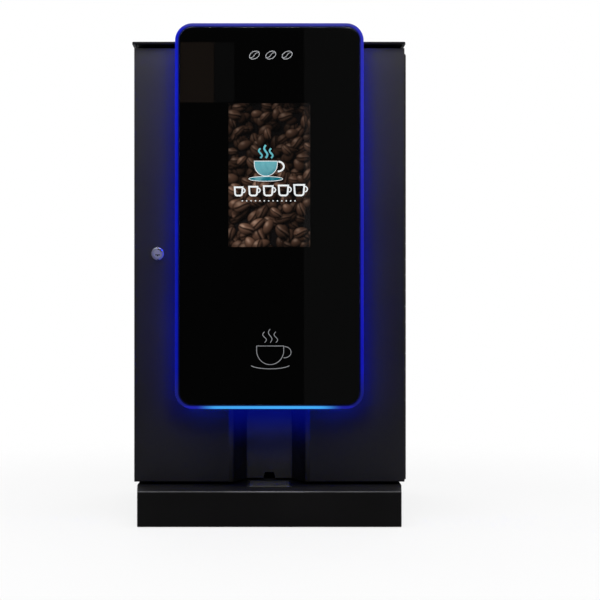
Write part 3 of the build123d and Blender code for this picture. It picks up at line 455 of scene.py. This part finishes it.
# light strip: a dot at every chip along the strip
m_led = Mat("led_strip_lit", (0.2, 0.25, 0.9), 0.4)
chips = m_led.voronoi(90.0, out="Distance")
m_led.put(m_led.p.inputs["Emission Color"], m_led.mix(m_led.span(m_led.axes()[2], 0.212, 0.235, 1.0, 0.0), (0.008, 0.028, 1.0), (0.010, 0.080, 1.0)))
l_ax = m_led.axes()
over_niche = m_led.math("MULTIPLY", m_led.span(m_led.math("ABSOLUTE", l_ax[0]), 0.055, 0.085, 1.0, 0.0), m_led.span(l_ax[2], 0.235, 0.255, 1.0, 0.0))
m_led.put(m_led.p.inputs["Emission Strength"], m_led.math("MULTIPLY", m_led.span(chips, 0.0, 0.8, 1.25 * LED, 0.75 * LED), m_led.math("SUBTRACT", 1.0, m_led.math("MULTIPLY", over_niche, 0.90))))
m_led.roughness(m_led.span(chips, 0.0, 0.8, 0.3, 0.5))
dress("led_strip", m_led)

# display bezel behind the mask
dress("display_module", moulded("display_frame", (0.012, 0.012, 0.012), 0.4))

m_lamp = Mat("niche_lamp_lens", (0.7, 0.72, 0.75), 0.4)
m_lamp.p.inputs["Emission Color"].default_value = (0.80, 0.84, 1.0, 1)
m_lamp.put(m_lamp.p.inputs["Emission Strength"], m_lamp.span(m_lamp.voronoi(160.0), 0.0, 0.7, 1.6, 0.8))
m_lamp.bump(m_lamp.noise(900.0, 2.0, 0.5), 0.00004)
dress("niche_lamp", m_lamp)

# insides
dress("bean_hopper", clear_plastic("hopper_smoked", (0.42, 0.42, 0.44), 0.12))
dress("powder_canisters", clear_plastic("canister_frosted", (0.86, 0.88, 0.90), 0.32, 0.55))
m_white = moulded("food_white", (0.74, 0.735, 0.71), 0.42, 0.00004)
for n in ("canister_lids", "auger_1", "auger_2", "mixer_impeller", "mixing_bowl"):
    dress(n, m_white)
m_black = moulded("filled_black", (0.030, 0.030, 0.032), 0.5)
for n in ("grinder_housing", "fan_frame", "fan_rotor", "power_inlet"):
    dress(n, m_black)
dress("rocker_switch", moulded("rocker_red", (0.42, 0.02, 0.015), 0.35, 0.00002))
m_motor = brushed("motor_can", (0.50, 0.50, 0.51), 0.36, "Z")
for n in ("grinder_motor", "gearmotors", "water_pump"):
    dress(n, m_motor)
dress("grinding_burr", brushed("burr_ground", (0.62, 0.61, 0.60), 0.25, "X"))
m_brew = moulded("brew_moulding", (0.07, 0.07, 0.078), 0.45)
for n in ("brew_chamber", "grounds_bin"):
    dress(n, m_brew)
m_inox = brushed("stainless", (0.66, 0.66, 0.65), 0.24, "Z")
for n in ("boiler", "brew_piston"):
    dress(n, m_inox)
dress("drink_tubes", clear_plastic("silicone_tube", (0.86, 0.84, 0.78), 0.35, 0.6))
dress("solenoid_valves", moulded("valve_moulding", (0.05, 0.05, 0.055), 0.5))
dress("power_supply", brushed("pressed_alu", (0.70, 0.71, 0.72), 0.38, "X"))
dress("water_inlet_valve", polished("valve_brass", (0.72, 0.52, 0.22), 0.24))

m_pcb = Mat("circuit_board", (0.01, 0.10, 0.04), 0.35)
tracks = m_pcb.wave(40.0, "X", distortion=6.0, detail=3.0)
pads = m_pcb.voronoi(220.0, randomness=0.55)
c = m_pcb.mix(m_pcb.span(tracks, 0.55, 0.62, 0, 0.8), (0.006, 0.085, 0.035), (0.012, 0.15, 0.06))
c = m_pcb.mix(m_pcb.span(pads, 0.20, 0.16, 0, 0.9), c, (0.55, 0.56, 0.55))
part_depth = m_pcb.span(m_pcb.axes()[1], 0.0999, 0.1003, 0, 1)
c = m_pcb.mix(part_depth, c, (0.02, 0.02, 0.022))
m_pcb.color(c)
m_pcb.bump(tracks, 0.00004)
dress("control_board", m_pcb)


# ---------------------------------------------------------------- mesh kit
def obj_from(name, verts, faces, mat, body, smooth=False):
    me = bpy.data.meshes.new(name)
    me.from_pydata([tuple(v) for v in verts], [], [tuple(f) for f in faces])
    me.validate()
    me.update()
    o = bpy.data.objects.new(name, me)
    scene.collection.objects.link(o)
    o.data.materials.append(mat.m if isinstance(mat, Mat) else mat)
    bm = bmesh.new()
    bm.from_mesh(me)
    bmesh.ops.recalc_face_normals(bm, faces=bm.faces)
    bm.to_mesh(me)
    bm.free()
    if smooth:
        for p in me.polygons:
            p.use_smooth = True
    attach(o, body)
    return o


def ribbon(line, width, y_front, y_back, closed=False):
    """A drawn line as a thin solid in the XZ plane; line is a list of (x, z)."""
    p = np.array(line, float)
    n = len(p)
    nxt = np.roll(p, -1, 0) - p
    prv = p - np.roll(p, 1, 0)
    if not closed:
        nxt[-1] = prv[-1]
        prv[0] = nxt[0]
    nxt /= np.linalg.norm(nxt, axis=1)[:, None] + 1e-12
    prv /= np.linalg.norm(prv, axis=1)[:, None] + 1e-12
    t = nxt + prv
    t /= np.linalg.norm(t, axis=1)[:, None] + 1e-12
    nor = np.stack([-t[:, 1], t[:, 0]], 1)
    mitre = 1.0 / np.clip((nor * np.stack([-nxt[:, 1], nxt[:, 0]], 1)).sum(1), 0.5, 1)
    off = nor * (width / 2 * mitre)[:, None]
    a, b = p + off, p - off
    verts, faces = [], []
    for q in (a, b):
        verts += [(x, y_front, z) for x, z in q]
    for q in (a, b):
        verts += [(x, y_back, z) for x, z in q]
    m = n if closed else n - 1
    for i in range(m):
        j = (i + 1) % n
        faces += [(i, j, n + j, n + i), (2 * n + i, 3 * n + i, 3 * n + j, 2 * n + j),
                  (i, 2 * n + i, 2 * n + j, j), (n + i, n + j, 3 * n + j, 3 * n + i)]
    if not closed:
        faces += [(0, n, 3 * n, 2 * n), (n - 1, 3 * n - 1, 4 * n - 1, 2 * n - 1)]
    return verts, faces


def plate(outline, y_front, y_back):
    """A flat shape cut to an outline of (x, z)."""
    n = len(outline)
    verts = [(x, y_front, z) for x, z in outline] + [(x, y_back, z) for x, z in outline]
    faces = [tuple(range(n)), tuple(range(2 * n - 1, n - 1, -1))]
    faces += [(i, n + i, n + (i + 1) % n, (i + 1) % n) for i in range(n)]
    return verts, faces


def join(parts):
    verts, faces = [], []
    for v, f in parts:
        k = len(verts)
        verts += list(v)
        faces += [tuple(i + k for i in q) for q in f]
    return verts, faces


def arc(cx, cz, rx, rz, a0, a1, n=24):
    return [(cx + rx * math.cos(math.radians(a0 + (a1 - a0) * i / n)), cz + rz * math.sin(math.radians(a0 + (a1 - a0) * i / n))) for i in range(n + 1)]


def cup_lines(cx, cz, s):
    """Line drawing of a cup, its saucer and three wisps of steam, s = overall width."""
    w = s / 80.0
    body = [(cx - 27 * w, cz + 6 * w), (cx + 21 * w, cz + 6 * w)]
    body += [(cx + 21 * w - 0.0 * w, cz - 2 * w)] + arc(cx - 3 * w, cz - 2 * w, 24 * w, 25 * w, 0, -180, 40)[1:]
    lines = [(body, True)]
    handle = arc(cx + 22 * w, cz - 5 * w, 12 * w, 10 * w, 88, -96, 22)
    lines.append((handle, False))
    lines.append((arc(cx - 3 * w, cz - 26 * w, 36 * w, 8.5 * w, 200, 340, 30), False))
    for k, h in ((-13, 19), (-3, 24), (7, 19)):
        z0 = cz + 12 * w
        lines.append(([(cx + (k + 3.2 * math.sin(t * 2 * math.pi)) * w, z0 + t * h * w) for t in [i / 20 for i in range(21)]], False))
    return lines


# ---------------------------------------------------------------- silver line drawings printed on the glass
glass_lo, glass_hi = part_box("glass_front")
face = glass_lo[1]
m_silver = Mat("silver_print", (0.55, 0.56, 0.58), 0.30, 0.6)
# painted highlight: the silver print is given a faint glow of its own, standing in for the light its metallic ink
# catches
m_silver.p.inputs["Emission Color"].default_value = (0.80, 0.83, 0.88, 1)
m_silver.put(m_silver.p.inputs["Emission Strength"], m_silver.span(m_silver.noise(40.0, 2.0, 0.5), 0.3, 0.7, 0.16, 0.26))
m_silver.color(m_silver.mix(m_silver.span(m_silver.noise(300.0, 3.0, 0.6), 0.35, 0.7, 0, 1), (0.48, 0.49, 0.51), (0.62, 0.63, 0.65)))

parts = []
for line, closed in cup_lines(0.0045, 0.312, 0.080):
    parts.append(ribbon(line, 0.0011, face - 0.00012, face, closed))
v, f = join(parts)
obj_from("glass_cup_drawing", v, f, m_silver, "door")

# row of three outlined beans, level with the head of the panel
parts = []
for k in range(3):
    cx, cz, tilt = 0.0025 + (k - 1) * 0.029, 0.8335, math.radians(28)
    ring = []
    for i in range(48):
        t = 2 * math.pi * i / 48
        u, w = 0.0095 * math.cos(t), 0.0062 * math.sin(t)
        ring.append((cx + u * math.cos(tilt) - w * math.sin(tilt), cz + u * math.sin(tilt) + w * math.cos(tilt)))
    parts.append(ribbon(ring, 0.0011, face - 0.00012, face, True))
    crease = []
    for i in range(21):
        u = -0.0092 + 0.0184 * i / 20
        w = 0.0016 * math.sin(u / 0.0092 * math.pi)
        crease.append((cx + u * math.cos(tilt) - w * math.sin(tilt), cz + u * math.sin(tilt) + w * math.cos(tilt)))
    parts.append(ribbon(crease, 0.0009, face - 0.00012, face, False))
v, f = join(parts)
obj_from("glass_bean_row", v, f, m_silver, "door")

# ---------------------------------------------------------------- picture on the display: roasted beans and plain symbols
X0, X1, Z0, Z1 = -0.0725, 0.0725, 0.4936, 0.7486
disp_lo, disp_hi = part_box("display_module")
screen_y = disp_lo[1]
cols, rows = 195, 341
xs = np.linspace(X0 * 1000, X1 * 1000, cols)
zs = np.linspace(Z0 * 1000, Z1 * 1000, rows)
gx, gz = np.meshgrid(xs, zs)
rng = np.random.default_rng(11)
img = np.zeros((rows, cols, 3)) + np.array([0.0034, 0.0026, 0.0026])
beans = []
for layer, count in ((0.30, 130), (0.50, 100), (0.75, 72), (1.0, 50)):
    for _ in range(count):
        beans.append((layer, rng.uniform(-84, 84), rng.uniform(482, 760), rng.uniform(11.5, 16.0), rng.uniform(0, math.pi),
                      rng.uniform(0.58, 0.74), rng.random() < 0.66, rng.uniform(0.70, 1.30), rng.uniform(-0.10, 0.10)))
for layer, cx, cz, a, ang, asp, creased, tone, bend in beans:
    a *= 0.88 + 0.34 * math.exp(-((cx + 45) / 60) ** 2 - ((cz - 530) / 60) ** 2)
    c0, c1 = np.searchsorted(xs, (cx - a - 3, cx + a + 3))
    r0, r1 = np.searchsorted(zs, (cz - a - 3, cz + a + 3))
    if c0 >= c1 or r0 >= r1:
        continue
    dx, dz = gx[r0:r1, c0:c1] - cx, gz[r0:r1, c0:c1] - cz
    u = (dx * math.cos(ang) + dz * math.sin(ang)) / a
    w = (-dx * math.sin(ang) + dz * math.cos(ang)) / (a * asp)
    w = w * (1.0 + 0.12 * u)
    rr = u * u + w * w
    shadow = np.clip(1.45 - rr, 0, 0.45) / 0.45
    inside = np.clip((1.0 - rr) * 8, 0, 1)
    h = np.sqrt(np.clip(1 - rr, 0, 1))
    nx = u * math.cos(ang) - w * math.sin(ang)
    nz = u * math.sin(ang) + w * math.cos(ang)
    lit = np.clip(0.42 * h - 0.40 * nx + 0.50 * nz + 0.16, 0.02, 1.5)
    gloss = np.exp(-((nx + 0.42) ** 2 + (nz - 0.46) ** 2) / 0.075) * 0.42
    if creased:
        line = w - 0.15 * np.sin(u * 2.4) - bend
        cut = np.clip(1.25 - np.abs(line) / 0.15, 0, 1) * np.clip((1.1 - np.abs(u)) * 3, 0, 1)
        lip = np.exp(-((np.abs(line) - 0.30) / 0.10) ** 2) * np.where(line * math.cos(ang) > 0, 1.0, 0.25)
        lit = np.clip(lit * (1 - 0.95 * cut) + 0.55 * lip * h, 0.01, 1.8)
        gloss = gloss * (1 - cut) + 0.10 * lip * h
    rgb = lit[..., None] * np.array([0.096, 0.047, 0.0290]) * tone * layer + gloss[..., None] * np.array([0.34, 0.235, 0.175]) * layer ** 1.4
    patch_ = img[r0:r1, c0:c1]
    patch_ *= 1 - 0.75 * shadow[..., None] * (1 - inside[..., None])
    patch_ *= 1 - inside[..., None]
    patch_ += rgb * inside[..., None]
kern = np.array([0.03, 0.22, 0.50, 0.22, 0.03])
for axis_ in (0, 1):
    img = np.apply_along_axis(lambda m_: np.convolve(np.pad(m_, 2, mode="edge"), kern, "valid"), axis_, img)
fall = 0.50 + 0.80 * np.exp(-(((gx + 50) / 66) ** 2 + ((gz - 545) / 80) ** 2)) + 0.20 * np.exp(-((gz - 600) / 90.0) ** 2)
edge_ = np.clip((72.5 - np.abs(gx)) / 6, 0, 1) * np.clip((gz - 493.6) / 6, 0, 1) * np.clip((748.6 - gz) / 14, 0.25, 1)
img = img * fall[..., None] * (0.60 + 0.40 * edge_[..., None])

verts = [(x / 1000, screen_y - 0.0001, z / 1000) for z in zs for x in xs]
faces = [(r * cols + c, r * cols + c + 1, (r + 1) * cols + c + 1, (r + 1) * cols + c) for r in range(rows - 1) for c in range(cols - 1)]
m_pic = Mat("display_picture", (0.0, 0.0, 0.0), 0.4)
attr = m_pic.n.new("ShaderNodeVertexColor")
attr.layer_name = "picture"
m_pic.p.inputs["Specular IOR Level"].default_value = 0.0
pixel = m_pic.voronoi(1400.0, randomness=0.0)
m_pic.put(m_pic.p.inputs["Emission Color"], attr.outputs["Color"])
m_pic.put(m_pic.p.inputs["Emission Strength"], m_pic.span(pixel, 0.2, 0.6, 1.45, 1.2))
picture = obj_from("display_picture", verts, faces, m_pic, "door")
ca = picture.data.color_attributes.new("picture", "FLOAT_COLOR", "POINT")
rgba = np.ones((rows * cols, 4), np.float32)
rgba[:, :3] = img.reshape(-1, 3)
ca.data.foreach_set("color", rgba.ravel())

# symbols in front of the picture
m_teal = Mat("symbol_teal", (0.0, 0.02, 0.025), 0.4)
tz = m_teal.axes()[2]
grad = m_teal.mix(m_teal.span(tz, 0.620, 0.676, 0, 1), (0.006, 0.150, 0.200), (0.150, 0.560, 0.620))
grad = m_teal.mix(m_teal.span(m_teal.noise(30.0, 2.0, 0.5, distortion=0.5), 0.45, 0.7, 0, 0.35), grad, (0.35, 0.75, 0.80))
m_teal.put(m_teal.p.inputs["Emission Color"], grad)
m_teal.p.inputs["Emission Strength"].default_value = 1.0
m_teal.p.inputs["Specular IOR Level"].default_value = 0.0
m_sym = Mat("symbol_white", (0.02, 0.02, 0.02), 0.4)
m_sym.put(m_sym.p.inputs["Emission Color"], m_sym.mix(m_sym.span(m_sym.noise(60.0, 2.0, 0.5), 0.3, 0.7, 0, 1), (0.86, 0.90, 0.92), (0.98, 1.0, 1.0)))
m_sym.p.inputs["Emission Strength"].default_value = 1.0

cx, cz = -0.0033, 0.6400
bowl = [(cx - 0.0235, cz + 0.0060), (cx + 0.0175, cz + 0.0060)] + arc(cx - 0.003, cz + 0.0010, 0.0205, 0.0215, 0, -180, 40)
ys = screen_y - 0.0004
v, f = plate(bowl, ys - 0.0002, ys)
v2, f2 = plate(arc(cx - 0.003, cz - 0.0255, 0.0300, 0.0042, 0, 352, 44), ys - 0.0002, ys)
parts = [(v, f), (v2, f2)]
for k, h, wd in ((-12.5, 17, 0.0030), (-3, 23, 0.0034), (6.5, 17, 0.0030)):
    pts = [(cx + (k + 2.8 * math.sin(t * 2 * math.pi)) / 1000, cz + 0.0115 + t * h / 1000) for t in [i / 24 for i in range(25)]]
    parts.append(ribbon(pts, wd, ys - 0.0002, ys))
v, f = join(parts)
obj_from("screen_cup_teal", v, f, m_teal, "door")
parts = [ribbon(bowl, 0.0011, ys - 0.0004, ys - 0.0002, True),
         ribbon(arc(cx + 0.0185, cz - 0.0035, 0.0105, 0.0088, 86, -92, 22), 0.0030, ys - 0.0004, ys - 0.0001),
         ribbon(arc(cx - 0.003, cz - 0.0255, 0.0300, 0.0042, 0, 354, 60), 0.0009, ys - 0.0004, ys - 0.0002, True)]
# five cup sizes to choose from, and page dots
for k, s in ((-0.0545, 0.86), (-0.0285, 0.92), (-0.0020, 0.98), (0.0250, 1.04), (0.0530, 1.10)):
    bx, bz = k, 0.5840
    cup = [(bx - 0.0082 * s, bz + 0.0180 * s)] + arc(bx - 0.0030 * s, bz + 0.0052 * s, 0.0042 * s, 0.0042 * s, 190, 270, 8)
    cup += arc(bx + 0.0030 * s, bz + 0.0052 * s, 0.0042 * s, 0.0042 * s, 270, 350, 8) + [(bx + 0.0082 * s, bz + 0.0180 * s)]
    parts.append(ribbon(cup, 0.0030, ys - 0.0003, ys, True))
    parts.append(ribbon(arc(bx + 0.0086 * s, bz + 0.0112 * s, 0.0046 * s, 0.0044 * s, 82, -82, 14), 0.0021, ys - 0.0003, ys))
for k in range(13):
    parts.append(plate(arc(-0.0480 + 0.0078 * k, 0.5755, 0.0012, 0.0012, 0, 330, 11), ys - 0.0003, ys))
v, f = join(parts)
obj_from("screen_symbols_white", v, f, m_sym, "door")

# ---------------------------------------------------------------- studio
world = bpy.data.worlds.new("studio")
scene.world = world
world.use_nodes = True
wt = world.node_tree
wt.nodes.clear()
w_out = wt.nodes.new("ShaderNodeOutputWorld")


def wmath(op, a, b=None, clamp=False):
    n = wt.nodes.new("ShaderNodeMath")
    n.operation, n.use_clamp = op, clamp
    for i, val in enumerate((a, b)):
        if val is None:
            continue
        if isinstance(val, bpy.types.NodeSocket):
            wt.links.new(val, n.inputs[i])
        else:
            n.inputs[i].default_value = val
    return n.outputs[0]


w_co = wt.nodes.new("ShaderNodeTexCoord")
w_sep = wt.nodes.new("ShaderNodeSeparateXYZ")
wt.links.new(w_co.outputs["Generated"], w_sep.inputs[0])
dx, dy, dz = w_sep.outputs
up = wmath("MAXIMUM", dz, 0.0)
back = wmath("MAXIMUM", dy, 0.0)
side = wmath("ABSOLUTE", dx)
amb = wmath("ADD", 0.035, wmath("MULTIPLY", wmath("POWER", up, 3.0), 0.50))
amb = wmath("ADD", amb, wmath("MULTIPLY", back, 0.60))
amb = wmath("ADD", amb, wmath("MULTIPLY", wmath("POWER", side, 4.0), 0.10))
bg_light = wt.nodes.new("ShaderNodeBackground")
bg_light.inputs[0].default_value = (0.98, 0.985, 1.0, 1)
wt.links.new(amb, bg_light.inputs[1])
bg_seen = wt.nodes.new("ShaderNodeBackground")
bg_seen.inputs[0].default_value = (1, 1, 1, 1)
bg_seen.inputs[1].default_value = 1.0
w_path = wt.nodes.new("ShaderNodeLightPath")
w_mix = wt.nodes.new("ShaderNodeMixShader")
wt.links.new(w_path.outputs["Is Camera Ray"], w_mix.inputs[0])
wt.links.new(bg_light.outputs[0], w_mix.inputs[1])
wt.links.new(bg_seen.outputs[0], w_mix.inputs[2])
wt.links.new(w_mix.outputs[0], w_out.inputs[0])


def area(name, at, aim, size, power, color=(1, 1, 1), seen=False):
    d = bpy.data.lights.new(name, "AREA")
    d.shape = "RECTANGLE"
    d.size, d.size_y = size
    d.energy = power
    d.color = color
    o = bpy.data.objects.new(name, d)
    scene.collection.objects.link(o)
    o.location = at
    o.rotation_euler = (Vector(aim) - Vector(at)).to_track_quat("-Z", "Y").to_euler()
    o.visible_camera = seen
    return o


area("near_top", (0.0, -0.55, 1.28), (0.0, -0.50, 0.0), (2.0, 0.30), 10.5)
area("front_high", (0.0, -2.6, 2.05), (0.0, -0.2, 0.30), (1.6, 0.6), 10.0)
area("top_back", (0.0, 1.6, 2.3), (0, 0.1, 0.5), (2.0, 1.0), 26.0)
area("left_wall", (-2.6, 0.2, 1.1), (0, 0.1, 0.45), (0.9, 1.6), 4.0)
area("right_wall", (2.6, 0.2, 1.1), (0, 0.1, 0.45), (0.9, 1.6), 4.0)
# dim panes that the glass mirrors
area("pane_right", (0.2605, -3.5, 0.73), (0.2605, 0.0, 0.73), (0.245, 1.60), 0.074)
area("pane_mid", (-0.180, -3.5, 1.31), (-0.180, 0.0, 1.31), (0.080, 0.24), 0.003)
area("pane_left", (-0.289, -3.5, 1.31), (-0.289, 0.0, 1.31), (0.135, 0.24), 0.017, (1.0, 0.70, 0.52))

m_floor = Mat("floor_paper", (0.86, 0.86, 0.865), 0.85)
m_floor.p.inputs["Specular IOR Level"].default_value = 0.15
ax = m_floor.axes()
r2 = m_floor.math("SQRT", m_floor.math("ADD", m_floor.math("MULTIPLY", ax[0], ax[0]), m_floor.math("MULTIPLY", ax[1], ax[1])))
m_floor.color(m_floor.mix(m_floor.span(m_floor.noise(3.0, 4.0, 0.5), 0.3, 0.7, 0, 1), (0.85, 0.85, 0.855), (0.88, 0.88, 0.885)))
m_floor.bump(m_floor.noise(300.0, 3.0, 0.5), 0.00005)
clear = m_floor.n.new("ShaderNodeBsdfTransparent")
mixer = m_floor.n.new("ShaderNodeMixShader")
m_floor.l.new(m_floor.span(r2, 0.35, 1.45, 0.20, 0.0), mixer.inputs[0])
m_floor.l.new(clear.outputs[0], mixer.inputs[1])
m_floor.l.new(m_floor.p.outputs[0], mixer.inputs[2])
m_floor.l.new(mixer.outputs[0], m_floor.out.inputs[0])
seg = 64
floor_me = bpy.data.meshes.new("floor")
floor_me.from_pydata([(1.6 * math.cos(2 * math.pi * i / seg), 1.6 * math.sin(2 * math.pi * i / seg), -0.0005) for i in range(seg)], [], [tuple(range(seg))])
floor = bpy.data.objects.new("floor", floor_me)
floor.data.materials.append(m_floor.m)
scene.collection.objects.link(floor)
